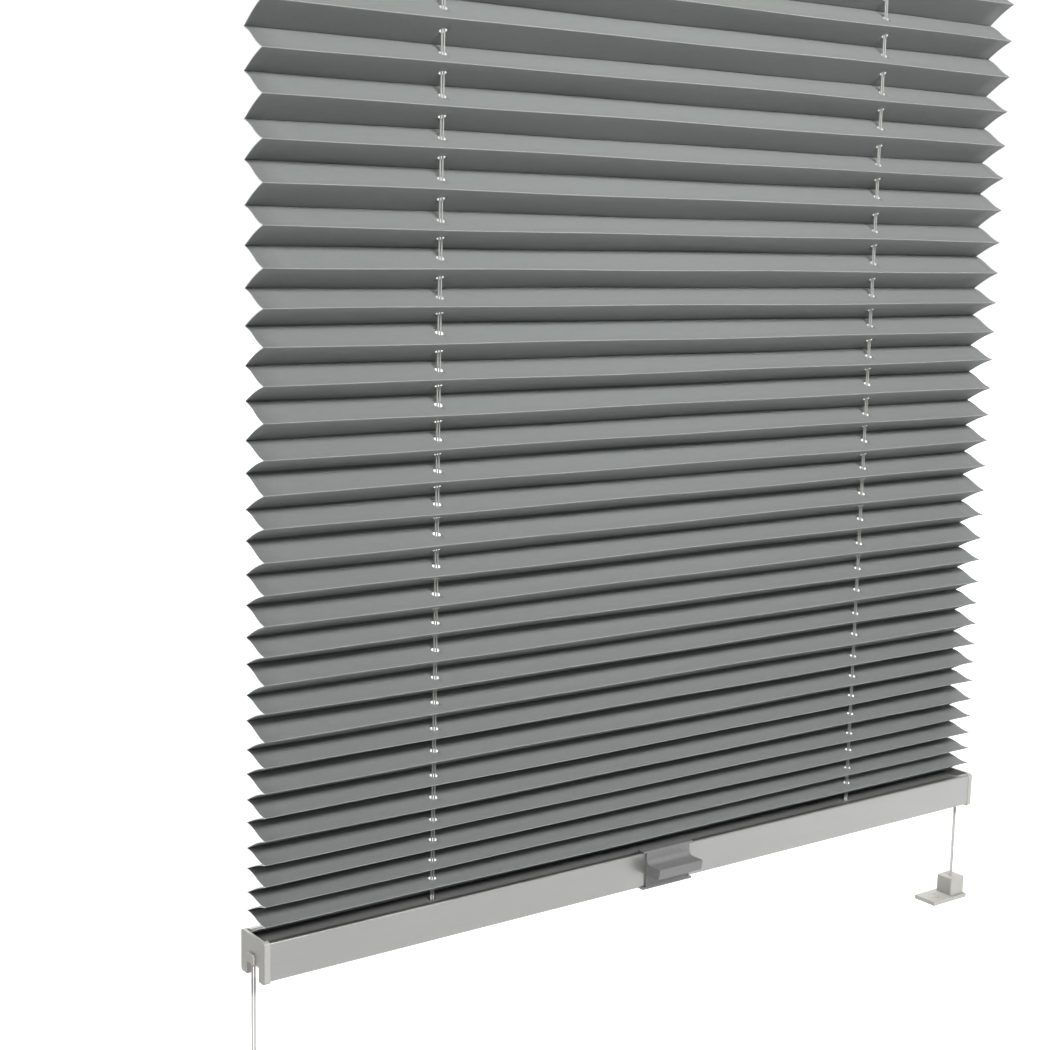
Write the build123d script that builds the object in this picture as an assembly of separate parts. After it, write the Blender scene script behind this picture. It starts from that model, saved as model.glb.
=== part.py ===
from build123d import *
from math import exp, sqrt
import os

# A pleated blind for a window frame. All sizes are in millimetres.
# X runs along the blind, Y from the room to the glass, and Z up.
# The origin is midway between the brackets, on their top faces, which meet the frame above.

# Overall sizes, with the bottom rail where it is left at rest
fabric_width = 500.0
rail_drop = 711.2          # from the headrail's lower face to the bottom rail's upper face
shoe_gap = 50.0            # from the bottom rail's caps down to the tension shoes

# Pleated fabric
pleat_count = 40
flank_length = 20.0        # from one fold to the next
fabric_thickness = 0.5     # measured upright
fabric_clearance = 0.3     # soft parts stay this far from hard ones
lowest_pitch = 10.44       # pleats close up towards the bottom rail
fold_rail_gap = 7.0        # from the last front fold to a rail's face
settled_share = 0.29       # how far the lowest front folds have sunk, as a share of their pitch
settled_reach = 7.0        # pleats over which that fades out
cord_slot_width = 4.4      # punched slots that the cords run through
cord_slot_depth = 3.0

# Rail profile, the same for both rails
rail_depth = 23.5
rail_height = 19.4
rail_wall = 1.2
rail_lip = 3.0             # how far the lips reach in from the outer faces
rail_corner = 0.8
groove_height = 3.4        # the fabric groove, between the lips and the web

# Fabric strips, which hold the first and last flank in the grooves
strip_thickness = 1.2
strip_end_gap = 2.0

# End caps
cap_plate = 1.7
cap_skirt = 1.5
cap_overhang = 1.9         # outer face of the cap beyond the fabric's edge
cap_rise = 0.4             # above the rail's grooved face
cap_side = 0.15            # beyond the rail's front and back
leg_drop = 1.2             # legs of the lower caps, below the rail
cap_corner = 1.6
notch_half = 6.0
notch_top = 13.5
plug_length = 14.0
plug_clearance = 0.15
hood_half = 3.0
hood_top = 8.4
hood_bottom = 13.0
hood_proud = 1.5
hood_corner = 1.2

# Tension cords, two in each column
cord_radius = 0.45
cord_spacing = 1.4
cord_clearance = 0.35
column_inset = 100.0       # from the fabric's edge to each column of slots
near_exit_out = 0.8        # where the near cord leaves the cap, beyond the fabric's edge
near_exit_radius = 1.4
near_turn_radius = 3.0
cross_level = 9.8          # below the bottom rail's upper face
cross_turn_radius = 2.6
cross_side_step = 2.6      # how far a crossing cord passes beside the other column
cross_side_radius = 600.0

# Cord guides, one under each column in each rail
guide_half_length = 9.0
guide_floor = 13.4
spigot_wall = 0.8
spigot_clearance = 0.1
nose_share = 0.8           # of the largest radius that fits, for the noses that cords bend round

# Springs, cord clips and anchors in the headrail
spring_coil_radius = 2.6
spring_wire_radius = 0.4
spring_length = 48.0
clip_length = 6.0
clip_half_width = 2.5
clip_half_height = 2.4
clip_from_column = 46.0
clip_hole_depth = 3.0      # how far each cord end reaches into the clip
clip_hole_clearance = 0.07
eye_radius = 0.75
eye_play = 0.1             # how far the hook sits off the middle of the eye
tab_half_width = 1.0
tab_half_height = 1.8
tab_reach = 4.6
anchor_peg_radius = 0.75
anchor_base = 1.5
anchor_length = 22.0
anchor_stub_radius = 1.9
anchor_peg_height = 7.0
running_clearance = 0.1

# Brackets that clip into the headrail's upper lips
bracket_thickness = 1.2
bracket_length = 18.0
bracket_half_depth = 10.5
bracket_inset = 55.0       # from the fabric's edge to the bracket's screw hole
bracket_leg = 1.0
bracket_hook = 1.6
screw_hole_radius = 2.1

# Handle, which clips round the bottom rail's front lips and slides along it
handle_offset = -2.7       # where it is left, from the middle of the rail
grip_width = 30.8
hook_wider = 2.2           # the clip's hooks reach further along the rail than the grip
handle_wall = 1.1
handle_clearance = 0.1
hook_tip = 0.9
hook_depth = 0.4
ledge_reach = 12.6         # from the rail's front face
ledge_top = 6.4            # below the rail's upper face
ledge_height = 6.0
ledge_root_radius = 3.0
ledge_nose_radius = 0.9
ledge_wall = 1.3
ledge_undercut = 1.3       # how far its front leans back at the foot

# Tension shoes on the sill
shoe_plate = 2.5
shoe_half_depth = 8.0
shoe_inner = 24.0          # from the cords to the plate's inner end
shoe_outer = 6.5
shoe_screw_from_cords = 15.0
shoe_countersink_radius = 4.0
post_half = 5.0
post_height = 11.0
post_wall = 1.4
post_shelf = 2.0
cover_wall = 1.1
cover_top = 2.4
knot_radius = 0.9
knot_step = 2.4

# Values worked out from the sizes above
rail_length = fabric_width + 2 * cap_overhang - 2 * (cap_plate + cap_skirt)
rail_end = rail_length / 2
cap_face = fabric_width / 2 + cap_overhang
rail_half = rail_depth / 2
channel_half = rail_half - rail_wall
opening_half = rail_half - rail_lip
web_top = rail_wall + groove_height
chamber_top = web_top + rail_wall
chamber_floor = rail_height - rail_wall
column_x = fabric_width / 2 - column_inset
near_x = column_x + cord_spacing / 2
cross_x = column_x - cord_spacing / 2
near_level = cross_level + cord_spacing
near_exit_x = fabric_width / 2 + near_exit_out
cross_exit_x = near_exit_x + cord_spacing
cross_exit_radius = near_exit_radius + cord_spacing
shoe_x = (near_exit_x + cross_exit_x) / 2
headrail_face = -bracket_thickness - rail_height
bottom_rail_face = headrail_face - rail_drop
leg_bottom = rail_height + leg_drop
shoe_top = bottom_rail_face - leg_bottom - shoe_gap
shoe_height = post_height + running_clearance + cover_top
sill = shoe_top - shoe_height
strip_top = rail_wall + 2 * fabric_clearance + fabric_thickness
strip_bottom = strip_top + strip_thickness
passage_top = cross_level - cord_radius - cord_clearance
passage_floor = near_level + cord_radius + cord_clearance
passage_half = cross_side_step + cord_radius + cord_clearance
spring_level = headrail_face + (cross_level + near_level) / 2


def band(low_y, high_y, low_z, high_z):
    """A rectangle in a cross-section."""
    return Pos((low_y + high_y) / 2, (low_z + high_z) / 2) * Rectangle(high_y - low_y, high_z - low_z)


def block(low_x, high_x, low_y, high_y, low_z, high_z):
    """A box between two corners."""
    middle = Pos((low_x + high_x) / 2, (low_y + high_y) / 2, (low_z + high_z) / 2)
    return middle * Box(high_x - low_x, high_y - low_y, high_z - low_z)


def along_rail(section, start, end):
    """A cross-section in Y and Z, drawn out from one X to another."""
    return extrude(Plane.YZ.offset(start) * section, amount=end - start)


def upright_slot(width, depth, x, low_z, high_z):
    """An upright prism with round ends, for cords to pass through."""
    return Pos(x, 0, low_z) * extrude(SlotOverall(width, depth), amount=high_z - low_z)


def cord(points, radii):
    """A tight cord through the points, with an arc of the given radius at each turn."""
    if radii:
        path = FilletPolyline(*points, radius=radii)
    else:
        path = Line(*points)
    start = Plane(origin=path @ 0, z_dir=path % 0)
    return sweep(start * Circle(cord_radius), path=path)


def turned_round(shape):
    """The same piece for the other end of the blind."""
    return Rot(0, 0, 180) * shape


def in_bottom_rail(shape):
    return Pos(0, 0, bottom_rail_face) * shape


def in_headrail(shape):
    return Pos(0, 0, headrail_face) * mirror(shape, Plane.XY)


# Rails, drawn with the grooved face at Z = 0 and the chamber below it


def rail_profile():
    outline = band(-rail_half, rail_half, -rail_height, 0)
    section = fillet(outline.vertices(), rail_corner)
    section -= band(-channel_half, channel_half, -web_top, -rail_wall)
    section -= band(-opening_half, opening_half, -rail_wall, 0)
    section -= band(-channel_half, channel_half, -chamber_floor, -chamber_top)
    section -= band(-opening_half, opening_half, -rail_height, -chamber_floor)
    profile = along_rail(section, -rail_end, rail_end)
    for x in (-column_x, column_x):
        profile -= upright_slot(cord_slot_width + 2 * (spigot_wall + spigot_clearance),
                                cord_slot_depth + 2 * (spigot_wall + spigot_clearance),
                                x, -chamber_top, -web_top)
    return profile


def fabric_strip():
    front = running_clearance - channel_half
    back = channel_half - fabric_thickness - 2 * fabric_clearance
    strip = block(strip_end_gap - rail_end, rail_end - strip_end_gap, front, back, -strip_bottom, -strip_top)
    for x in (-column_x, column_x):
        strip -= upright_slot(cord_slot_width, cord_slot_depth, x, -strip_bottom, -strip_top)
    return strip


def cord_guide():
    """A moulded block under the web, with a nose that each cord bends round."""
    half_depth = channel_half - plug_clearance
    top = -chamber_top - running_clearance
    body = block(column_x - guide_half_length, column_x + guide_half_length,
                 -half_depth, half_depth, -guide_floor, top)
    body += upright_slot(cord_slot_width + 2 * spigot_wall, cord_slot_depth + 2 * spigot_wall,
                         column_x, top, -web_top)
    body -= upright_slot(cord_slot_width, cord_slot_depth, column_x, -passage_floor, -web_top)
    passage = block(column_x - guide_half_length, column_x + guide_half_length,
                    -passage_half, passage_half, -passage_floor, -passage_top)
    body -= passage
    noses = body.edges().filter_by(Axis.Y).filter_by(is_nose)
    return fillet(noses, guide_nose_radius()) if noses else body


def is_nose(edge):
    """Whether an edge lies where the upright slot opens into the passage."""
    low = abs(edge.center().Z + passage_top) < running_clearance / 2
    return low and abs(edge.center().X - column_x) < guide_half_length / 2


def guide_nose_radius():
    """The noses are as round as the moulding above the passage allows."""
    return min(cross_turn_radius - cord_radius, passage_top - chamber_top - running_clearance) * nose_share


# Pleats, with Z measured up from the bottom rail's grooved face


def front_share(index):
    """How much of a pleat's pitch its upper, front-facing flank takes."""
    return 0.5 - settled_share * exp(-index / settled_reach)


def pitch_growth():
    """How much taller each pleat is than the one below it, so that the folds fill the drop."""
    folds = rail_drop - 2 * fold_rail_gap
    top_share = front_share(pleat_count)
    steps = pleat_count * (pleat_count - 1) / 2
    fixed = lowest_pitch * (pleat_count - top_share + front_share(0))
    return (folds - fixed) / (steps - top_share * pleat_count)


def fold_points():
    """Front and back folds in turn, from the bottom rail to the headrail."""
    growth = pitch_growth()
    clamped_y = opening_half - fabric_clearance - fabric_thickness
    clamped_z = rail_wall + fabric_clearance
    back_z = fold_rail_gap + front_share(0) * lowest_pitch
    points = [(clamped_y, -clamped_z)]
    for index in range(pleat_count + 1):
        pitch = lowest_pitch + growth * index
        front_drop = front_share(index) * pitch
        steepest = max(front_drop, pitch - front_drop)
        half_depth = sqrt(flank_length**2 - steepest**2) / 2
        points.append((-half_depth, back_z - front_drop))
        if index < pleat_count:
            points.append((half_depth, back_z))
        back_z += pitch
    points.append((clamped_y, rail_drop + clamped_z + fabric_thickness))
    return points


def clamped_end():
    """The end of the fabric, wrapped round the back of a strip and laid along it."""
    wrap_back = channel_half - fabric_clearance
    wrap_front = wrap_back - fabric_thickness
    start = opening_half - fabric_clearance - fabric_thickness
    over = rail_wall + fabric_clearance
    under = strip_bottom + fabric_clearance
    section = band(start, wrap_back, -over - fabric_thickness, -over)
    section += band(wrap_front, wrap_back, -under - fabric_thickness, -over)
    section += band(fabric_clearance - channel_half, wrap_back, -under - fabric_thickness, -under)
    return along_rail(section, strip_end_gap - rail_end, rail_end - strip_end_gap)


def sheet_outline(points):
    """The two faces of the sheet that is folded along the points, with its raw ends."""
    (start_y, start_z), (end_y, end_z) = points[0], points[-1]
    glass_face = [(start_y, start_z)]
    room_face = [(start_y, start_z - fabric_thickness)]
    for below, (y, z), above in zip(points, points[1:], points[2:]):
        slope_below = (z - below[1]) / abs(y - below[0])
        slope_above = (above[1] - z) / abs(y - above[0])
        inset = fabric_thickness / (slope_below + slope_above)
        outside = [(y, z - fabric_thickness), (y, z)]
        if y < 0:
            glass_face += [(y + inset, z - slope_below * inset)]
            room_face += outside
        else:
            glass_face += outside
            room_face += [(y - inset, z - slope_below * inset)]
    glass_face.append((end_y, end_z - fabric_thickness))
    room_face.append((end_y, end_z))
    return glass_face + room_face[::-1]


def pleated_fabric():
    section = make_face(Polyline(*sheet_outline(fold_points()), close=True))
    fabric = in_bottom_rail(along_rail(section, -fabric_width / 2, fabric_width / 2))
    fabric += in_bottom_rail(clamped_end())
    fabric += in_headrail(clamped_end())
    for x in (-column_x, column_x):
        fabric -= upright_slot(cord_slot_width, cord_slot_depth, x,
                               bottom_rail_face - web_top, headrail_face + web_top)
    return fabric


# End caps, drawn for the right-hand end of a rail with its grooved face at Z = 0


def cap_body(bottom):
    side = rail_half + cap_side
    outline = band(-side, side, -bottom, cap_rise)
    outline = fillet(outline.vertices(), cap_corner)
    cap = along_rail(outline, rail_end, cap_face)
    cap -= block(rail_end, rail_end + cap_skirt, -opening_half, opening_half, -web_top, cap_rise)
    half_depth = channel_half - plug_clearance
    cap += block(rail_end - plug_length, rail_end, -half_depth, half_depth,
                 -notch_top, -chamber_top - plug_clearance)
    return cap


def headrail_cap():
    return cap_body(rail_height + cap_rise)


def bottom_cap():
    """A cap with a notch and a hooded outlet, where the two cords turn down to the shoe."""
    cap = cap_body(leg_bottom)
    hood = band(-hood_half, hood_half, -hood_bottom, -hood_top)
    hood = fillet(hood.vertices().group_by(Axis.Y)[-1], hood_corner)
    cap += along_rail(hood, cap_face, cap_face + hood_proud)
    cap -= block(rail_end, cap_face, -notch_half, notch_half, -leg_bottom, -notch_top)
    slot_half = cord_radius + cord_clearance
    outlet_end = cross_exit_x + slot_half
    cap -= block(rail_end - plug_length, rail_end, -passage_half, passage_half, -passage_floor, -passage_top)
    cap -= block(rail_end, outlet_end, -slot_half, slot_half, -notch_top, -passage_top)
    return cap


# Tension cords, drawn for the right-hand column


def near_cord_in_rail():
    points = [(near_x, 0, 0), (near_x, 0, -near_level), (near_exit_x, 0, -near_level), (near_exit_x, 0, -leg_bottom)]
    return cord(points, [near_turn_radius, near_exit_radius])


def cross_cord_in_rail():
    points = [(cross_x, 0, 0), (cross_x, 0, -cross_level), (-column_x, cross_side_step, -cross_level),
              (-cross_exit_x, 0, -cross_level), (-cross_exit_x, 0, -leg_bottom)]
    return cord(points, [cross_turn_radius, cross_side_radius, cross_exit_radius])


def upper_cord(x, level, radius):
    """From the cord clip in the headrail, round the guide and down to the bottom rail."""
    clip_end = column_x - clip_from_column - clip_hole_depth
    height = headrail_face + level
    return cord([(clip_end, 0, height), (x, 0, height), (x, 0, bottom_rail_face)], [radius])


def lower_cord(x, knot_z):
    """From the bottom rail's cap down through the shoe's shelf, to a knot under it."""
    start = bottom_rail_face - leg_bottom
    length = start - knot_z
    stem = Pos(x, 0, (start + knot_z) / 2) * Cylinder(cord_radius, length)
    return stem + Pos(x, 0, knot_z) * Sphere(knot_radius)


# Springs and their fittings, drawn for the right-hand side of the headrail


def clip_outer():
    return column_x - clip_from_column


def eye_x():
    return clip_outer() - clip_length - tab_reach + eye_radius + tab_half_width


def cord_clip():
    """Holds the two cord ends of a column and hooks on to the spring."""
    outer = clip_outer()
    inner = outer - clip_length
    clip = block(inner, outer, -clip_half_width, clip_half_width, -clip_half_height, clip_half_height)
    clip += block(inner - tab_reach, inner, -tab_half_width, tab_half_width, -tab_half_height, tab_half_height)
    clip -= Pos(eye_x(), 0, 0) * Rot(90, 0, 0) * Cylinder(eye_radius, 2 * clip_half_width)
    hole_x = outer - clip_hole_depth / 2
    for z in (-cord_spacing / 2, cord_spacing / 2):
        clip -= Pos(hole_x, 0, z) * Rot(0, 90, 0) * Cylinder(cord_radius + clip_hole_clearance, clip_hole_depth)
    return Pos(0, 0, spring_level) * clip


def spring_end():
    """The X of the coil's outer end, whose hook reaches through the clip's eye."""
    return eye_x() - eye_play - spring_coil_radius + spring_wire_radius


def spring_turns():
    return round(spring_length / (2 * spring_wire_radius))


def tension_spring():
    """A close-wound coil, with a ridge for each turn and a half loop turned up at each end."""
    wire = spring_wire_radius
    outer = spring_end()
    inner = outer - 2 * wire * spring_turns()
    ridges = []
    for turn in range(spring_turns()):
        x = inner + 2 * wire * turn
        ridges += [(x, spring_coil_radius), (x + wire, spring_coil_radius + wire)]
    bore = spring_coil_radius - wire
    section = make_face(Polyline((inner, bore), *ridges, (outer, spring_coil_radius), (outer, bore), close=True))
    spring = revolve(section, axis=Axis.X)
    hook = revolve(Plane.XZ * Pos(spring_coil_radius, 0) * Circle(wire), axis=Axis.Z, revolution_arc=180)
    spring += Pos(outer - wire, 0, 0) * Rot(0, 0, -90) * hook
    spring += Pos(inner + wire, 0, 0) * Rot(0, 0, 90) * hook
    return Pos(0, 0, spring_level) * spring


def spring_anchor():
    """A plate on the headrail's web, with a peg for the spring's inner loop."""
    hook_x = spring_end() - spring_wire_radius * (2 * spring_turns() - 1) - spring_coil_radius
    peg_x = hook_x + spring_wire_radius + anchor_peg_radius + running_clearance
    floor = headrail_face + chamber_top + running_clearance
    half_depth = channel_half - plug_clearance
    inner = peg_x - anchor_length / 2
    anchor = block(inner, inner + anchor_length, -half_depth, half_depth, floor, floor + anchor_base)
    peg = Cylinder(anchor_peg_radius, anchor_peg_height, align=(Align.CENTER, Align.CENTER, Align.MIN))
    anchor += Pos(peg_x, 0, floor) * peg
    return anchor


# Brackets, drawn for the right-hand side, with the mounting face at Z = 0


def bracket_x():
    return fabric_width / 2 - bracket_inset


def bracket():
    """A plate that screws to the frame above, with two legs that clip under the headrail's lips."""
    half = bracket_length / 2
    hook_top = bracket_thickness + rail_wall + running_clearance
    hook_bottom = hook_top + bracket_leg
    leg_outer = opening_half - running_clearance
    leg_inner = leg_outer - bracket_leg
    section = band(-bracket_half_depth, bracket_half_depth, -bracket_thickness, 0)
    for side in (-1, 1):
        leg = sorted((side * leg_inner, side * leg_outer))
        hook = sorted((side * leg_inner, side * (leg_outer + bracket_hook)))
        section += band(*leg, -hook_bottom, -bracket_thickness)
        section += band(*hook, -hook_bottom, -hook_top)
    piece = along_rail(section, bracket_x() - half, bracket_x() + half)
    return piece - Pos(bracket_x(), 0, -bracket_thickness / 2) * Cylinder(screw_hole_radius, bracket_thickness)


# Handle, with Z measured from the bottom rail's grooved face


def handle():
    """A grip with a finger ledge, and a clip that hooks round the rail's front lips."""
    back = -rail_half - handle_clearance
    front = back - handle_wall
    top = handle_clearance + handle_wall
    bottom = -rail_height - handle_clearance - handle_wall
    tip_front = handle_clearance - opening_half
    tip_back = tip_front + hook_tip
    tip_low = -rail_wall - hook_depth
    clip = band(front, back, bottom, top)
    clip += band(front, tip_back, handle_clearance, top)
    clip += band(tip_front, tip_back, tip_low, top)
    clip += band(front, tip_back, bottom, bottom + handle_wall)
    clip += band(tip_front, tip_back, bottom, -chamber_floor + hook_depth)
    hooks = clip - band(front, back, bottom + handle_wall, top - handle_wall)
    ledge_front = -rail_half - ledge_reach
    ledge_bottom = -ledge_top - ledge_height
    ledge = [(back, -ledge_top), (ledge_front, -ledge_top), (ledge_front + ledge_undercut, ledge_bottom), (back, ledge_bottom)]
    grip = clip + make_face(Polyline(*ledge, close=True))
    root = grip.vertices().sort_by_distance((front, -ledge_top))[0]
    grip = fillet(root, ledge_root_radius)
    grip = fillet(grip.vertices().sort_by(Axis.X)[:2], ledge_nose_radius)
    half_grip = grip_width / 2
    half_clip = half_grip + hook_wider
    piece = along_rail(grip, -half_grip, half_grip)
    piece += along_rail(hooks, -half_clip, half_clip)
    hollow_front = ledge_front + ledge_undercut + ledge_wall
    piece -= block(ledge_wall - half_grip, half_grip - ledge_wall, hollow_front, front,
                   ledge_bottom, -ledge_top - ledge_wall)
    return Pos(handle_offset, 0, 0) * piece


# Tension shoes, drawn for the right-hand end


def shoe_base():
    """A plate on the sill with a hollow post, under whose shelf the cords are knotted."""
    top = sill + shoe_plate
    post_top = sill + post_height
    inner = post_half - post_wall
    base = block(shoe_x - shoe_inner, shoe_x + shoe_outer, -shoe_half_depth, shoe_half_depth, sill, top)
    base += block(shoe_x - post_half, shoe_x + post_half, -post_half, post_half, sill, post_top)
    base -= block(shoe_x - inner, shoe_x + inner, -inner, inner, sill, post_top - post_shelf)
    base -= cord_opening(post_top - post_shelf, post_top)
    screw_x = shoe_x - shoe_screw_from_cords
    sink = shoe_countersink_radius - screw_hole_radius
    base -= Pos(screw_x, 0, sill + shoe_plate / 2) * Cylinder(screw_hole_radius, shoe_plate)
    base -= Pos(screw_x, 0, top - sink / 2) * Cone(screw_hole_radius, shoe_countersink_radius, sink)
    return base


def cord_opening(low_z, high_z):
    width = cord_spacing + 2 * (cord_radius + cord_clearance / 2)
    depth = 2 * (cord_radius + cord_clearance / 2)
    return upright_slot(width, depth, shoe_x, low_z, high_z)


def shoe_cover():
    """A cover that snaps down over the post."""
    inner = post_half + running_clearance
    outer = inner + cover_wall
    low = sill + shoe_plate + running_clearance
    ceiling = sill + post_height + running_clearance
    cover = block(shoe_x - outer, shoe_x + outer, -outer, outer, low, shoe_top)
    cover = fillet(cover.edges().filter_by(Axis.Z), cover_wall)
    cover -= block(shoe_x - inner, shoe_x + inner, -inner, inner, low, ceiling)
    return cover - cord_opening(ceiling, shoe_top)


# The whole blind, one node for each piece

nodes = {
    "headrail_profile": in_headrail(rail_profile()),
    "headrail_fabric_strip": in_headrail(fabric_strip()),
    "bottom_rail_profile": in_bottom_rail(rail_profile()),
    "bottom_rail_fabric_strip": in_bottom_rail(fabric_strip()),
    "pleated_fabric": pleated_fabric(),
    "handle": in_bottom_rail(handle()),
}

shelf_underside = sill + post_height - post_shelf
near_knot = shelf_underside - knot_radius
cross_knot = near_knot - knot_step

right_hand = {
    "headrail_cap": in_headrail(headrail_cap()),
    "headrail_cord_guide": in_headrail(cord_guide()),
    "bottom_rail_cap": in_bottom_rail(bottom_cap()),
    "bottom_rail_cord_guide": in_bottom_rail(cord_guide()),
    "bracket": bracket(),
    "cord_clip": cord_clip(),
    "tension_spring": tension_spring(),
    "spring_anchor": spring_anchor(),
    "shoe_base": shoe_base(),
    "shoe_cover": shoe_cover(),
    "near_cord_upper": upper_cord(near_x, near_level, cross_turn_radius + cord_spacing),
    "near_cord_rail": in_bottom_rail(near_cord_in_rail()),
    "near_cord_lower": lower_cord(near_exit_x, near_knot),
    "cross_cord_upper": upper_cord(cross_x, cross_level, cross_turn_radius),
    "cross_cord_rail": in_bottom_rail(cross_cord_in_rail()),
    "cross_cord_lower": lower_cord(-cross_exit_x, cross_knot),
}

for name, shape in right_hand.items():
    nodes["right_" + name] = shape
    nodes["left_" + name] = turned_round(shape)

os.makedirs("parts", exist_ok=True)
for name, shape in nodes.items():
    export_step(shape, f"parts/{name}.step")
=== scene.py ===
import math
import bmesh
import bpy
from mathutils import Matrix, Quaternion, Vector


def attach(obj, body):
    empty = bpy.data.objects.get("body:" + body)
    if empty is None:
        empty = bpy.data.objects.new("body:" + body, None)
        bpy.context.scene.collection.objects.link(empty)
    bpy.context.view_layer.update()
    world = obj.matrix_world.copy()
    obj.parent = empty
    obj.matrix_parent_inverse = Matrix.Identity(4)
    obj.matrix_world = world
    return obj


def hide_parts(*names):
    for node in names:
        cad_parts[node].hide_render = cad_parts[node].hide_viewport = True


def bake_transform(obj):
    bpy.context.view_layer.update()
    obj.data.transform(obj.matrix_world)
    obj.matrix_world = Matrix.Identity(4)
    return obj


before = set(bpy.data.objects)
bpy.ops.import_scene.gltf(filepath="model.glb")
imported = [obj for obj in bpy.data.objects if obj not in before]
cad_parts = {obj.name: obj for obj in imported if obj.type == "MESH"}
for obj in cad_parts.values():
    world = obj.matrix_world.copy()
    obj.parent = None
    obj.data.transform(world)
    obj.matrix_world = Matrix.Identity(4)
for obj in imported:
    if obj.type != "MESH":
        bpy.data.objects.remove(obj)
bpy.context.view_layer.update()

print("frame loaded:", len(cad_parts), "nodes")

# Shared by the pieces, in metres
blind = {
    "railDrop": 0.7112,       # from the headrail's lower face to the bottom rail's upper face
    "headrailFace": -0.0206,
    "railFace": -0.7318,
    "capLegs": -0.7524,       # where the cords come out of the bottom rail's caps
    "shoeTop": -0.8024,
    "sill": -0.8159,
    "columnX": 0.15,          # from the middle to each column of cords
}


# Node helpers

def setInputs(tree, node, inputs):
    for key, value in inputs.items():
        if isinstance(value, bpy.types.NodeSocket):
            tree.links.new(value, node.inputs[key])
        else:
            node.inputs[key].default_value = value


def addNode(tree, kind, settings=None, inputs=None):
    node = tree.nodes.new("ShaderNode" + kind)
    for key, value in (settings or {}).items():
        setattr(node, key, value)
    setInputs(tree, node, inputs or {})
    return node


def mathNode(tree, operation, *values):
    return addNode(tree, "Math", {"operation": operation}, dict(enumerate(values))).outputs[0]


def scaled(tree, vector, factor):
    return addNode(tree, "VectorMath", {"operation": "SCALE"}, {0: vector, "Scale": factor}).outputs[0]


def mixed(tree, factor, first, second):
    return addNode(tree, "Mix", {"data_type": "RGBA"}, {0: factor, 6: first, 7: second}).outputs[2]


def newGroup(name, inputs, outputs):
    group = bpy.data.node_groups.new(name, "ShaderNodeTree")
    for label, kind, value in inputs:
        socket = group.interface.new_socket(name=label, in_out="INPUT", socket_type="NodeSocket" + kind)
        if value is not None:
            socket.default_value = value
    for label, kind in outputs:
        group.interface.new_socket(name=label, in_out="OUTPUT", socket_type="NodeSocket" + kind)
    given = group.nodes.new("NodeGroupInput").outputs
    result = group.nodes.new("NodeGroupOutput").inputs
    return group, given, result


def useGroup(tree, group, inputs):
    node = tree.nodes.new("ShaderNodeGroup")
    node.node_tree = group
    setInputs(tree, node, inputs)
    return node.outputs


# Shared surface effects

effects = {
    "drawnStretch": (0.004, 1.0, 1.0),       # the lines of a drawn bar run along X
    "threadsAcross": (90.0, 1900.0, 1.0),    # long thin streaks of noise, for uneven threads
    "threadsUp": (1700.0, 160.0, 1.0),
    "speckScale": 1400.0,                    # of the dust
    "speckRange": (0.42, 0.68),
    "dustSlope": 0.2,                        # dust lies where the normal's Z is above this
    "noiseRange": (0.3, 0.7),                # most of a noise texture's values
    "dustColour": (0.5, 0.49, 0.46, 1),
}


def makeTextureGroup(name, sizeName, size, stretch, detail):  # a noise that shades a surface and roughens it
    group, given, result = newGroup(
        name,
        [("Vector", "Vector", None), ("Normal", "Vector", None), (sizeName, "Float", size),
         ("Depth", "Float", 0.00001)],
        [("Normal", "Vector"), ("Mask", "Float")])
    place = given["Vector"]
    if stretch:
        place = addNode(group, "Mapping", None, {"Vector": place, "Scale": stretch}).outputs[0]
    scale = mathNode(group, "DIVIDE", 1.0, given[sizeName])
    noise = addNode(group, "TexNoise", None, {"Vector": place, "Scale": scale, "Detail": detail}).outputs[0]
    inputs = {"Height": noise, "Distance": given["Depth"], "Normal": given["Normal"]}
    group.links.new(addNode(group, "Bump", None, inputs).outputs[0], result["Normal"])
    group.links.new(noise, result["Mask"])
    return group


def streaks(group, vector, stretch):
    place = addNode(group, "Mapping", None, {"Vector": vector, "Scale": stretch}).outputs[0]
    return addNode(group, "TexNoise", None, {"Vector": place, "Scale": 1.0, "Detail": 1.0}).outputs[0]


def crossedWaves(group, first, second, pitch):  # two sines multiplied, from 0 to 1
    turns = mathNode(group, "DIVIDE", 2 * math.pi, pitch)
    waves = [mathNode(group, "SINE", mathNode(group, "MULTIPLY", value, turns)) for value in (first, second)]
    return mathNode(group, "MULTIPLY_ADD", mathNode(group, "MULTIPLY", *waves), 0.5, 0.5)


def makeWeaveGroup():  # a plain weave over a flat cloth, with thicker threads here and there
    group, given, result = newGroup(
        "clothWeave",
        [("Vector", "Vector", None), ("Pitch", "Float", 0.0005), ("Depth", "Float", 0.00004),
         ("Slub", "Float", 0.5)],
        [("Normal", "Vector"), ("Shade", "Float"), ("Thread", "Float")])
    parts = addNode(group, "SeparateXYZ", None, {0: given["Vector"]}).outputs
    crossing = crossedWaves(group, parts[0], parts[1], given["Pitch"])
    across = streaks(group, given["Vector"], effects["threadsAcross"])
    up = streaks(group, given["Vector"], effects["threadsUp"])
    both = mathNode(group, "SUBTRACT", mathNode(group, "ADD", across, up), 1.0)
    uneven = mathNode(group, "MULTIPLY", both, given["Slub"])
    height = mathNode(group, "ADD", crossing, uneven)
    bump = addNode(group, "Bump", None, {"Height": height, "Distance": given["Depth"]})
    group.links.new(bump.outputs[0], result["Normal"])
    group.links.new(uneven, result["Shade"])
    group.links.new(crossing, result["Thread"])
    return group


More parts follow.
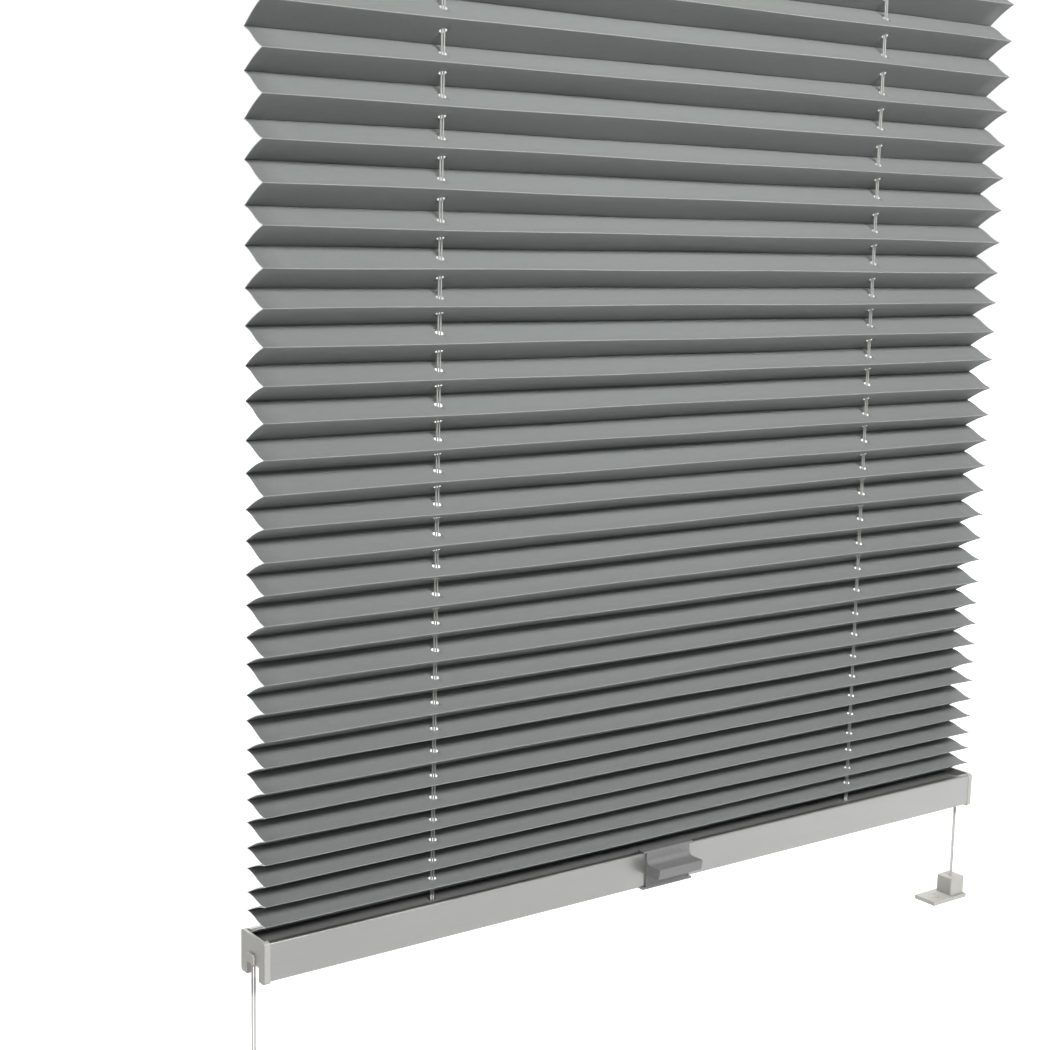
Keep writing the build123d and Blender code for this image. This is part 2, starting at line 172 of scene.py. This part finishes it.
def makeBraidGroup():  # slanting strands, crossing both ways round a cord
    group, given, result = newGroup(
        "braidedStrands",
        [("Vector", "Vector", None), ("Pitch", "Float", 0.0006), ("Depth", "Float", 0.00005)],
        [("Normal", "Vector"), ("Shade", "Float")])
    parts = addNode(group, "SeparateXYZ", None, {0: given["Vector"]}).outputs
    across = mathNode(group, "ADD", parts[0], parts[1])
    rising = mathNode(group, "ADD", parts[2], across)
    falling = mathNode(group, "SUBTRACT", parts[2], across)
    strands = crossedWaves(group, rising, falling, given["Pitch"])
    bump = addNode(group, "Bump", None, {"Height": strands, "Distance": given["Depth"]})
    group.links.new(bump.outputs[0], result["Normal"])
    group.links.new(strands, result["Shade"])
    return group


def makeHandledGroup():  # where a surface has been touched, and where dust has settled on it
    group, given, result = newGroup(
        "handledSurface",
        [("Vector", "Vector", None), ("Size", "Float", 0.04), ("Dust", "Float", 0.3)],
        [("Smudge", "Float"), ("Dust", "Float")])
    place = given["Vector"]
    scale = mathNode(group, "DIVIDE", 1.0, given["Size"])
    inputs = {"Vector": place, "Scale": scale, "Detail": 5.0, "Roughness": 0.65}
    smudge = addNode(group, "TexNoise", None, inputs).outputs[0]
    inputs = {"Vector": place, "Scale": effects["speckScale"], "Detail": 2.0}
    specks = addNode(group, "TexNoise", None, inputs).outputs[0]
    normal = addNode(group, "NewGeometry").outputs["Normal"]
    facing = addNode(group, "SeparateXYZ", None, {0: normal}).outputs[2]
    upward = addNode(group, "MapRange", None, {0: facing, 1: effects["dustSlope"], 2: 1.0}).outputs[0]
    low, high = effects["speckRange"]
    fallen = addNode(group, "MapRange", None, {0: specks, 1: low, 2: high}).outputs[0]
    patchy = mathNode(group, "MULTIPLY", fallen, smudge)
    settled = mathNode(group, "MULTIPLY", mathNode(group, "MULTIPLY", patchy, upward), given["Dust"])
    group.links.new(smudge, result["Smudge"])
    group.links.new(settled, result["Dust"])
    return group


# A moulded or blasted surface has a fine grain, an extruded bar has fine lines along it
grainGroup = makeTextureGroup("fineGrain", "Size", 0.0004, None, 2.0)
drawnGroup = makeTextureGroup("drawnLines", "Pitch", 0.0003, effects["drawnStretch"], 3.0)
weaveGroup = makeWeaveGroup()
braidGroup = makeBraidGroup()
handledGroup = makeHandledGroup()
print("surface effects built")


# Rails, mouldings and pressings

plainLook = {"metallic": 0.0, "ior": 1.46, "edge": 0.0003, "drawn": False, "size": 0.00035,
             "depth": 0.000012, "smudgeSize": 0.03, "dust": 0.25, "mottle": 0.03}
metalLook = dict(plainLook, metallic=1.0, ior=1.5, dust=0.15, mottle=0.05)

looks = {
    "rail_aluminium": dict(metalLook, colour=(0.58, 0.58, 0.573), roughness=(0.34, 0.44), drawn=True,
                           size=0.00022, depth=0.00001, edge=0.0002),
    "cap_plastic": dict(plainLook, colour=(0.46, 0.455, 0.425), roughness=(0.36, 0.48)),
    "handle_plastic": dict(plainLook, metallic=0.3, colour=(0.28, 0.28, 0.28), roughness=(0.3, 0.42),
                           edge=0.0004, mottle=0.25, size=0.0006, depth=0.00003),
    "guide_plastic": dict(plainLook, colour=(0.10, 0.10, 0.105), roughness=(0.4, 0.52)),
    "strip_plastic": dict(plainLook, colour=(0.2, 0.2, 0.2), roughness=(0.3, 0.42), edge=0.0001),
    "spring_steel": dict(metalLook, colour=(0.55, 0.55, 0.54), roughness=(0.22, 0.34), edge=0.00005,
                         size=0.0002),
    "bracket_steel": dict(metalLook, colour=(0.66, 0.665, 0.67), roughness=(0.28, 0.45), edge=0.00025,
                          size=0.003, mottle=0.18, depth=0.000006),
}


def newMaterial(name, sockets):
    material = bpy.data.materials.new(name)
    material.use_nodes = True
    tree = material.node_tree
    shader = tree.nodes["Principled BSDF"]
    for label, value in sockets.items():
        shader.inputs[label].default_value = value
    return material, tree, shader


def hardMaterial(name, look):
    material, tree, shader = newMaterial(name, {"Metallic": look["metallic"], "IOR": look["ior"]})
    place = addNode(tree, "TexCoord").outputs["Object"]
    edge = addNode(tree, "Bevel", {"samples": 3}, {"Radius": look["edge"]}).outputs[0]
    texture, sizeName = (drawnGroup, "Pitch") if look["drawn"] else (grainGroup, "Size")
    inputs = {"Vector": place, "Normal": edge, sizeName: look["size"], "Depth": look["depth"]}
    fine = useGroup(tree, texture, inputs)
    inputs = {"Vector": place, "Size": look["smudgeSize"], "Dust": look["dust"]}
    handled = useGroup(tree, handledGroup, inputs)
    noiseLow, noiseHigh = effects["noiseRange"]
    low, high = look["roughness"]
    inputs = {0: handled["Smudge"], 1: noiseLow, 2: noiseHigh, 3: low, 4: high}
    rough = addNode(tree, "MapRange", None, inputs).outputs[0]
    inputs = {0: fine["Mask"], 1: noiseLow, 2: noiseHigh, 3: 1 - look["mottle"], 4: 1.0}
    tone = addNode(tree, "MapRange", None, inputs).outputs[0]
    colour = mixed(tree, handled["Dust"], scaled(tree, look["colour"], tone), effects["dustColour"])
    setInputs(tree, shader, {"Base Color": colour, "Roughness": rough, "Normal": fine["Normal"]})
    return material


materials = {name: hardMaterial(name + "_look", look) for name, look in looks.items()}

# Pleated cloth

cloth = {
    "roomColour": (0.172, 0.183, 0.178, 1),
    "threadColour": (0.252, 0.266, 0.259, 1),
    # the colour of the painted highlight along the folds
    "ridgeHighlightColour": (0.36, 0.37, 0.365, 1),
    "glassColour": (0.80, 0.80, 0.79),    # the coated side
    "pitch": 0.00042,
    "depth": 0.00004,
    "slub": 0.7,
    "threadMix": 0.6,         # how much each crossing of threads, and each thicker thread, lightens the cloth
    "slubMix": 0.9,
    "baseMix": 0.2,
    "glassSlubMix": 0.12,
    "ridgeHighlightHalf": 0.00055,     # the painted highlight along each fold, in place of light catching the rounded crease
    "ridgeHighlightMix": 0.6,
}

pleats = {
    "halfWidth": 0.25,
    "count": 40,
    "flank": 0.02,            # along the cloth from one fold to the next
    "thickness": 0.0004,
    "lowestPitch": 0.01044,   # the pleats get taller upwards
    "railGap": 0.007,         # from each rail to the nearest fold on the room side
    "settledShare": 0.29,     # how far above halfway the lowest front fold is, as a share of its pitch
    "settledReach": 7.0,      # the number of pleats over which that fades
    "settle": 0.0005,         # the S in the flanks that face up stands off a straight line by this much
    "arch": 0.00055,          # lift in the middle of the flanks that face the floor
    "archLean": 0.5,          # which is stronger towards the room
    "unevenness": 0.0005,     # the folds on the glass side are by turns this much high and low
    "ripple": 0.00035,        # each fold wanders this much from a straight line
    "waves": (9.1, 23.0),
    "waveDrift": 0.66,        # and differently from one fold to the next
    "slotHalfWidth": 0.0022,
    "slotHalfLength": 0.0017,
    "patchHalf": 0.0032,      # the patch of cloth that is cut out and filled round each slot
    "patchSteps": 2,          # mesh steps in half a patch
    "spacing": 0.014,         # between the lengthways lines of the mesh
    "flankStops": (0.0, 0.015, 0.05, 0.13, 0.25, 0.375, 0.5, 0.625, 0.75, 0.87, 0.95, 0.985),
    "middleStep": 0.125,      # between the stops beside a slot
    "shortStops": (0.0, 0.5),
    "wrapBack": 0.01,         # the clamped ends lie in two layers inside the rails' faces
    "wrapFront": -0.01025,
    "wrapInner": 0.00405,
    "wrapOuter": 0.00175,
    "clampY": 0.00795,
    "clampedRuns": 4,         # runs of cloth below the lowest fold
    "ridesBelow": 0.0022,     # above the rail's face, so that the closed stack lies on the handle's hooks
}


def clothMaterial(name, sockets):
    material, tree, shader = newMaterial(name, sockets)
    flat = addNode(tree, "UVMap", {"uv_map": "flatCloth"}).outputs[0]
    inputs = {"Vector": flat, "Pitch": cloth["pitch"], "Depth": cloth["depth"], "Slub": cloth["slub"]}
    weave = useGroup(tree, weaveGroup, inputs)
    tree.links.new(weave["Normal"], shader.inputs["Normal"])
    return material, tree, shader, flat, weave


def makeRoomSide():
    sockets = {"Roughness": 0.85, "Specular IOR Level": 0.25, "Sheen Weight": 0.25, "Sheen Roughness": 0.5}
    material, tree, shader, flat, weave = clothMaterial("cloth_room_side", sockets)
    slubs = mathNode(tree, "MULTIPLY_ADD", weave["Shade"], cloth["slubMix"], cloth["baseMix"])
    share = mathNode(tree, "MULTIPLY_ADD", weave["Thread"], cloth["threadMix"], slubs)
    body = mixed(tree, share, cloth["roomColour"], cloth["threadColour"])
    # a lighter line is painted along every fold: a painted highlight where light would catch the rounded
    # crease
    along = addNode(tree, "SeparateXYZ", None, {0: flat}).outputs[1]
    fromFold = mathNode(tree, "PINGPONG", along, pleats["flank"])
    inputs = {0: fromFold, 1: 0.0, 2: cloth["ridgeHighlightHalf"], 3: cloth["ridgeHighlightMix"], 4: 0.0}
    paintedHighlight = addNode(tree, "MapRange", {"interpolation_type": "SMOOTHSTEP"}, inputs).outputs[0]
    tree.links.new(mixed(tree, paintedHighlight, body, cloth["ridgeHighlightColour"]), shader.inputs["Base Color"])
    return material


def makeGlassSide():
    sockets = {"Roughness": 0.55, "Specular IOR Level": 0.25, "Sheen Weight": 0.1}
    material, tree, shader, flat, weave = clothMaterial("cloth_glass_side", sockets)
    tone = mathNode(tree, "MULTIPLY_ADD", weave["Shade"], cloth["glassSlubMix"], 1.0)
    tree.links.new(scaled(tree, cloth["glassColour"], tone), shader.inputs["Base Color"])
    return material


materials["pleated_fabric"] = makeRoomSide()
clothGlassSide = makeGlassSide()


def bendEvenly(piece, startZ, endZ):
    # The heights are put through the inverse of an ease first, the piece's transform is baked in, and the
    # heights are put back afterwards.
    heights = [vertex.co.z for vertex in piece.data.vertices]
    for vertex in piece.data.vertices:
        share = min(max((startZ - vertex.co.z) / (startZ - endZ), 0.0), 1.0)
        eased = 0.5 - math.sin(math.asin(1 - 2 * share) / 3)
        vertex.co.z = startZ - eased * (startZ - endZ)
    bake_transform(piece)
    for vertex, height in zip(piece.data.vertices, heights):
        vertex.co.z = height


def finishMesh(mesh, name, material, smooth=True):
    data = bpy.data.meshes.new(name)
    mesh.to_mesh(data)
    mesh.free()
    piece = bpy.data.objects.new(name, data)
    bpy.context.scene.collection.objects.link(piece)
    data.materials.append(material)
    for face in data.polygons:
        face.use_smooth = smooth
    return piece


def frontShare(index):  # a front fold is this share of its pitch below the glass-side fold above it
    return 0.5 - pleats["settledShare"] * math.exp(-index / pleats["settledReach"])


def foldLine():  # every fold's Y and Z above the bottom rail's face, with the two clamped ends
    count = pleats["count"]
    folds = blind["railDrop"] - 2 * pleats["railGap"]
    topShare = frontShare(count)
    fixed = pleats["lowestPitch"] * (count - topShare + frontShare(0))
    growth = (folds - fixed) / (count * (count - 1) / 2 - topShare * count)
    height = pleats["railGap"] + frontShare(0) * pleats["lowestPitch"]
    line = []
    for index in range(count + 1):
        pitch = pleats["lowestPitch"] + growth * index
        drop = frontShare(index) * pitch
        depth = math.sqrt(pleats["flank"] ** 2 - max(drop, pitch - drop) ** 2) / 2
        line.append((-depth, height - drop))
        if index < count:
            line.append((depth, height + pleats["unevenness"] * (-1) ** index))
        height += pitch
    front, back, clamp = pleats["wrapFront"], pleats["wrapBack"], pleats["clampY"]
    inner, outer, top = pleats["wrapInner"], pleats["wrapOuter"], blind["railDrop"]
    below = [(front, -inner), (back, -inner), (back, -outer), (clamp, -outer)]
    above = [(clamp, top + outer), (back, top + outer), (back, top + inner), (front, top + inner)]
    return below + line + above


def clothRuns():  # one run of mesh rows between each fold and the next
    line = foldLine()
    runs, row = [], 0
    for number, (start, end) in enumerate(zip(line, line[1:])):
        crosses = start[0] * end[0] < 0  # it passes the cords, so it is punched
        stops = list(pleats["flankStops"] if crosses else pleats["shortStops"]) + [1.0]
        if crosses:  # the slot is centred on the cords, which hang at Y = 0
            shift = start[0] / (start[0] - end[0]) - 0.5
            stops = [stop + shift * (1 - abs(2 * stop - 1)) for stop in stops]
        rows = len(stops) - 1
        runs.append({"number": number, "start": start, "end": end, "stops": stops, "row": row,
                     "lastRow": row + rows, "slotRow": row + rows // 2 if crosses else None,
                     "free": crosses and start[1] != end[1]})
        row += rows
    return runs, row


def runShare(run, row):
    step = min(max(row - run["row"], 0.0), len(run["stops"]) - 1)
    index = min(int(step), len(run["stops"]) - 2)
    low, high = run["stops"][index], run["stops"][index + 1]
    return low + (high - low) * (step - index)


def foldedPoint(run, row, x):
    share = runShare(run, row)
    (startY, startZ), (endY, endZ) = run["start"], run["end"]
    y = startY + share * (endY - startY)
    z = startZ + share * (endZ - startZ)
    if run["free"]:
        if startY > 0:  # this flank rises towards the room and faces the floor
            z += pleats["arch"] * math.sin(math.pi * share) * (1 + pleats["archLean"] * share)
        else:
            z -= pleats["settle"] * math.sin(2 * math.pi * share)
        waveLong, waveShort = pleats["waves"]
        drift = (run["number"] + share) * pleats["waveDrift"]
        z += pleats["ripple"] * math.sin(x * waveShort + drift) * math.sin(x * waveLong + 2 * drift)
    return x, y, z + blind["railFace"]


def evenStops(start, end):
    count = round((end - start) / pleats["spacing"])
    return [start + (end - start) * step / count for step in range(1, count + 1)]


def lengthwaysStops():  # X of each lengthways line of the mesh, and which lines pass through the slots
    steps = pleats["patchSteps"]
    stops, slotLines = [-pleats["halfWidth"]], []
    for columnX in (-blind["columnX"], blind["columnX"]):
        first = columnX - pleats["patchHalf"]
        stops += evenStops(stops[-1], first)
        slotLines.append(len(stops) - 1 + steps)
        stops += [first + pleats["patchHalf"] / steps * index for index in range(1, 2 * steps + 1)]
    return stops + evenStops(stops[-1], pleats["halfWidth"]), slotLines


def punchSlots(mesh, runs, rows, columns, slotLines):
    # A patch is taken out round each slot, and its rim is drawn in to a round-ended slot
    steps = pleats["patchSteps"]
    slotRows = [run["slotRow"] for run in runs if run["slotRow"] is not None]
    doomed = []
    for face in mesh.faces:
        centre = face.calc_center_median()
        if any(abs(centre.x - line) < steps for line in slotLines):
            if any(abs(centre.y - row) < steps for row in slotRows):
                doomed.append(face)
    bmesh.ops.delete(mesh, geom=doomed, context="FACES")
    rim = [edge for edge in mesh.edges if edge.is_boundary
           and 0 < edge.verts[0].co.x + edge.verts[1].co.x < 2 * columns
           and 0 < edge.verts[0].co.y + edge.verts[1].co.y < 2 * rows]
    drawn = bmesh.ops.extrude_edge_only(mesh, edges=rim)["geom"]
    halfLines = pleats["slotHalfWidth"] / (pleats["patchHalf"] / steps)
    halfRows = pleats["slotHalfLength"] / (pleats["flank"] * pleats["middleStep"])
    for vertex in (item for item in drawn if isinstance(item, bmesh.types.BMVert)):
        line = min(slotLines, key=lambda value: abs(value - vertex.co.x))
        row = min(slotRows, key=lambda value: abs(value - vertex.co.y))
        angle = math.atan2(vertex.co.y - row, vertex.co.x - line)
        vertex.co.x = line + halfLines * math.cos(angle)
        vertex.co.y = row + halfRows * math.sin(angle)


def foldMesh(mesh, runs, stops):  # and note where each place was on the flat cloth
    flat = mesh.loops.layers.uv.new("flatCloth")
    places = {}
    for vertex in mesh.verts:
        run = next(run for run in runs if vertex.co.y <= run["lastRow"] + 1e-6)
        column = min(int(vertex.co.x), len(stops) - 2)
        x = stops[column] + (stops[column + 1] - stops[column]) * (vertex.co.x - column)
        flank = run["number"] - pleats["clampedRuns"] + runShare(run, vertex.co.y)
        places[vertex] = (x, flank * pleats["flank"])
        vertex.co = foldedPoint(run, vertex.co.y, x)
    for face in mesh.faces:
        for loop in face.loops:
            loop[flat].uv = places[loop.vert]


def buildCloth():
    runs, rows = clothRuns()
    stops, slotLines = lengthwaysStops()
    columns = len(stops) - 1
    mesh = bmesh.new()
    bmesh.ops.create_grid(mesh, x_segments=columns, y_segments=rows, size=0.5)
    for vertex in mesh.verts:
        vertex.co = (round((vertex.co.x + 0.5) * columns), round((vertex.co.y + 0.5) * rows), 0)
    punchSlots(mesh, runs, rows, columns, slotLines)
    foldMesh(mesh, runs, stops)
    bmesh.ops.recalc_face_normals(mesh, faces=mesh.faces)
    if sum(face.normal.y for face in mesh.faces) > 0:  # the faces point into the room
        bmesh.ops.reverse_faces(mesh, faces=mesh.faces)
    piece = finishMesh(mesh, "pleatedCloth", materials["pleated_fabric"])
    piece.data.materials.append(clothGlassSide)
    endZ = blind["railFace"] + pleats["ridesBelow"]
    bendEvenly(piece, blind["headrailFace"], endZ)
    shell = piece.modifiers.new("clothThickness", "SOLIDIFY")
    shell.thickness = pleats["thickness"]
    shell.offset = 0
    shell.material_offset = 1
    shell.material_offset_rim = 1
    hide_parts("pleated_fabric")
    return piece


clothPiece = buildCloth()
print("cloth folded:", len(clothPiece.data.polygons), "faces")


# Tension cords

cords = {
    "radius": 0.00045,
    "sides": 3,               # resolution of the round section
    "arcSteps": 8,
    "darkStrand": (0.34, 0.34, 0.33, 1),
    "lightStrand": (0.62, 0.62, 0.60, 1),
    "braidPitch": 0.0007,
    "braidDepth": 0.00004,
    "nearX": 0.1507,          # in each column, the near cord is outermost
    "crossX": 0.1493,
    "nearLevel": 0.0112,      # how far inside a rail's face each cord turns and runs along X
    "crossLevel": 0.0098,
    "upperNearTurn": 0.004,
    "nearTurn": 0.003,
    "crossTurn": 0.0026,
    "nearExit": 0.2508,
    "crossExit": 0.2522,
    "exitTurn": 0.0014,
    "crossExitTurn": 0.0028,
    "sideStep": 0.0026,       # the crossing cords step aside to pass each other
    "sideTurn": 0.6,
    "clipEnd": 0.101,
    "nearKnot": -0.8078,
    "crossKnot": -0.8102,
    "knotRadius": 0.0009,
}


def cordMaterial():
    material, tree, shader = newMaterial("braided_cord", {"Roughness": 0.7, "Sheen Weight": 0.3})
    place = addNode(tree, "TexCoord").outputs["Object"]
    inputs = {"Vector": place, "Pitch": cords["braidPitch"], "Depth": cords["braidDepth"]}
    braid = useGroup(tree, braidGroup, inputs)
    colour = mixed(tree, braid["Shade"], cords["darkStrand"], cords["lightStrand"])
    setInputs(tree, shader, {"Base Color": colour, "Normal": braid["Normal"]})
    return material


materials["tension_cord"] = cordMaterial()


def roundedPath(points, radii):  # the points, with an arc of its radius in place of each inner one
    path = [Vector(points[0])]
    for before, corner, after, radius in zip(points, points[1:], points[2:], radii):
        corner = Vector(corner)
        back = (Vector(before) - corner).normalized()
        on = (Vector(after) - corner).normalized()
        half = back.angle(on) / 2
        reach = radius / math.tan(half)
        centre = corner + (back + on).normalized() * (radius / math.sin(half))
        start, end = corner + back * reach - centre, corner + on * reach - centre
        turn = start.rotation_difference(end)
        for step in range(cords["arcSteps"] + 1):
            part = Quaternion().slerp(turn, step / cords["arcSteps"])
            path.append(centre + part @ start)
    path.append(Vector(points[-1]))
    return path


def buildTube(name, path, knot=None):
    curve = bpy.data.curves.new(name + "_path", "CURVE")
    curve.dimensions = "3D"
    curve.bevel_depth = cords["radius"]
    curve.bevel_resolution = cords["sides"]
    curve.use_fill_caps = True
    spline = curve.splines.new("POLY")
    spline.points.add(len(path) - 1)
    for point, place in zip(spline.points, path):
        point.co = (*place, 1)
    shape = bpy.data.objects.new(name + "_path", curve)
    bpy.context.scene.collection.objects.link(shape)
    bpy.context.view_layer.update()
    mesh = bmesh.new()
    mesh.from_mesh(shape.to_mesh())
    shape.to_mesh_clear()
    bpy.data.objects.remove(shape)
    bpy.data.curves.remove(curve)
    bmesh.ops.remove_doubles(mesh, verts=mesh.verts, dist=1e-6)
    bmesh.ops.recalc_face_normals(mesh, faces=mesh.faces)
    if knot:
        place = Matrix.Translation(knot)
        bmesh.ops.create_icosphere(mesh, subdivisions=3, radius=cords["knotRadius"], matrix=place)
    return finishMesh(mesh, name + "_braid", materials["tension_cord"])


def standFor(node):
    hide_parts(node)


def onSide(sign, points):  # the left-hand cords are the right-hand ones turned half round
    return [Vector((sign * x, sign * y, z)) for x, y, z in points]


def upperCord(side, sign, kind, x, level, turn):  # from the clip in the headrail down to the bottom rail
    face = blind["headrailFace"]
    points = onSide(sign, [(cords["clipEnd"], 0, face + level), (x, 0, face + level), (x, 0, face)])
    path = roundedPath(points, [turn]) + onSide(sign, [(x, 0, blind["railFace"])])
    name = f"{side}_{kind}_cord_upper"
    piece = buildTube(name, path)
    bendEvenly(piece, face, blind["railFace"])
    standFor(name)


def railCord(side, sign, kind, points, turns):  # through the bottom rail to one of its caps
    name = f"{side}_{kind}_cord_rail"
    piece = buildTube(name, roundedPath(onSide(sign, points), turns))
    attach(piece, "bottom_rail")
    standFor(name)


def lowerCord(side, sign, kind, x, knotZ):  # from the cap down to its knot in the shoe
    path = onSide(sign, [(x, 0, blind["capLegs"]), (x, 0, blind["shoeTop"]), (x, 0, knotZ)])
    name = f"{side}_{kind}_cord_lower"
    piece = buildTube(name, path, knot=path[-1])
    bendEvenly(piece, blind["capLegs"], blind["shoeTop"])
    standFor(name)


def buildCords():
    rail, legs = blind["railFace"], blind["capLegs"]
    nearX, nearExit, nearZ = cords["nearX"], cords["nearExit"], rail - cords["nearLevel"]
    crossX, crossExit, crossZ = cords["crossX"], cords["crossExit"], rail - cords["crossLevel"]
    near = [(nearX, 0, rail), (nearX, 0, nearZ), (nearExit, 0, nearZ), (nearExit, 0, legs)]
    cross = [(crossX, 0, rail), (crossX, 0, crossZ), (-blind["columnX"], cords["sideStep"], crossZ),
             (-crossExit, 0, crossZ), (-crossExit, 0, legs)]
    for side, sign in (("right", 1), ("left", -1)):
        upperCord(side, sign, "near", nearX, cords["nearLevel"], cords["upperNearTurn"])
        upperCord(side, sign, "cross", crossX, cords["crossLevel"], cords["crossTurn"])
        railCord(side, sign, "near", near, [cords["nearTurn"], cords["exitTurn"]])
        railCord(side, sign, "cross", cross, [cords["crossTurn"], cords["sideTurn"], cords["crossExitTurn"]])
        lowerCord(side, sign, "near", nearExit, cords["nearKnot"])
        lowerCord(side, sign, "cross", -crossExit, cords["crossKnot"])


buildCords()
print("cords strung")

# The CAD nodes that stay get their looks by the name of their slot
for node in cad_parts.values():
    for slot in node.material_slots:
        slot.material = materials[slot.material.name.split(".")[0]]
print("materials assigned")


# Floor, light and camera

studio = {
    "floorHalf": 6.0,
    "floorColour": (0.6, 0.6, 0.6, 1),
    "floorGlow": 0.12,        # a lit floor, as on a light table
    "farGlow": 0.95,          # brighter beyond the blind
    "glowReach": (-0.4, 2.0),
    "seenGlow": 0.5,          # more of it where the camera sees the floor itself
    "backdrop": 1.05,         # the world's light beyond the blind, and all that the camera sees of it
    "roomSide": 0.3,          # and from behind the camera
    "backdropEdge": (0.1, 0.7),
    "backdropWay": (0.59, 0.81, 0.0),
    "cameraPlace": (-0.6277, -0.7242, -0.3996),
    "yaw": 36.28,
    "pitch": 9.22,
    "roll": -1.193,
    "lens": 61.13,
    "lights": [
        {"name": "keyLight", "place": (-0.08, -2.5, 1.25), "aim": (0.0, 0.0, -0.2), "size": (0.1, 0.7),
         "power": 8.9, "spread": 50},
        {"name": "sideLight", "place": (-2.2, -1.2, 0.6), "aim": (0.0, 0.0, -0.45), "size": (1.2, 1.2),
         "power": 0.8, "spread": 70},
        {"name": "backLight", "place": (0.3, 1.7, 2.8), "aim": (0.3, 1.7, 0.0), "size": (3.0, 2.4),
         "power": 36.0, "spread": 110},
    ],
}


def rampAlong(tree, vector, reach, ends, kind):  # a value that changes along the way to the backdrop
    dot = addNode(tree, "VectorMath", {"operation": "DOT_PRODUCT"}, {0: vector, 1: studio["backdropWay"]})
    inputs = {0: dot.outputs["Value"], 1: reach[0], 2: reach[1], 3: ends[0], 4: ends[1]}
    return addNode(tree, "MapRange", {"interpolation_type": kind}, inputs).outputs[0]


def buildFloor():
    mesh = bmesh.new()
    bmesh.ops.create_grid(mesh, x_segments=1, y_segments=1, size=studio["floorHalf"],
                          matrix=Matrix.Translation((0, 0, blind["sill"])))
    sockets = {"Base Color": studio["floorColour"], "Roughness": 0.9, "Emission Color": (1, 1, 1, 1)}
    paint, tree, shader = newMaterial("floor_paint", sockets)
    place = addNode(tree, "TexCoord").outputs["Object"]
    ends = (studio["floorGlow"], studio["farGlow"])
    glow = rampAlong(tree, place, studio["glowReach"], ends, "LINEAR")
    seen = addNode(tree, "LightPath").outputs["Is Camera Ray"]
    strength = mathNode(tree, "MULTIPLY_ADD", seen, studio["seenGlow"], glow)
    tree.links.new(strength, shader.inputs["Emission Strength"])
    finishMesh(mesh, "floor", paint, smooth=False)


def buildWorld():
    world = bpy.data.worlds.new("studioWorld")
    world.use_nodes = True
    bpy.context.scene.world = world
    tree = world.node_tree
    direction = addNode(tree, "TexCoord").outputs["Generated"]
    ends = (studio["roomSide"], studio["backdrop"])
    strength = rampAlong(tree, direction, studio["backdropEdge"], ends, "SMOOTHSTEP")
    seen = addNode(tree, "LightPath").outputs["Is Camera Ray"]
    shown = addNode(tree, "Mix", {"data_type": "FLOAT"}, {0: seen, 2: strength, 3: studio["backdrop"]})
    setInputs(tree, tree.nodes["Background"], {"Color": (1, 1, 1, 1), "Strength": shown.outputs[0]})


def buildLights():
    for light in studio["lights"]:
        data = bpy.data.lights.new(light["name"], "AREA")
        data.energy = light["power"]
        data.shape = "RECTANGLE"
        data.size, data.size_y = light["size"]
        data.spread = math.radians(light["spread"])
        lamp = bpy.data.objects.new(light["name"], data)
        lamp.location = light["place"]
        way = Vector(light["aim"]) - Vector(light["place"])
        lamp.rotation_euler = way.to_track_quat("-Z", "Y").to_euler()
        bpy.context.scene.collection.objects.link(lamp)


def buildCamera():
    yaw, pitch, roll = (math.radians(studio[key]) for key in ("yaw", "pitch", "roll"))
    level = Vector((math.sin(yaw), math.cos(yaw), 0))
    ahead = level * math.cos(pitch) - Vector((0, 0, math.sin(pitch)))
    across = Vector((math.cos(yaw), -math.sin(yaw), 0))
    down = ahead.cross(across)
    right = across * math.cos(roll) + down * math.sin(roll)
    below = down * math.cos(roll) - across * math.sin(roll)
    turn = Matrix((right, -below, -ahead)).transposed().to_4x4()
    data = bpy.data.cameras.new("mainCamera")
    data.lens = studio["lens"]
    data.clip_start = 0.01
    camera = bpy.data.objects.new("mainCamera", data)
    camera.matrix_world = Matrix.Translation(studio["cameraPlace"]) @ turn
    bpy.context.scene.collection.objects.link(camera)
    bpy.context.scene.camera = camera


buildFloor()
buildWorld()
buildLights()
buildCamera()
bpy.context.scene.view_settings.view_transform = "Standard"
print("studio set")
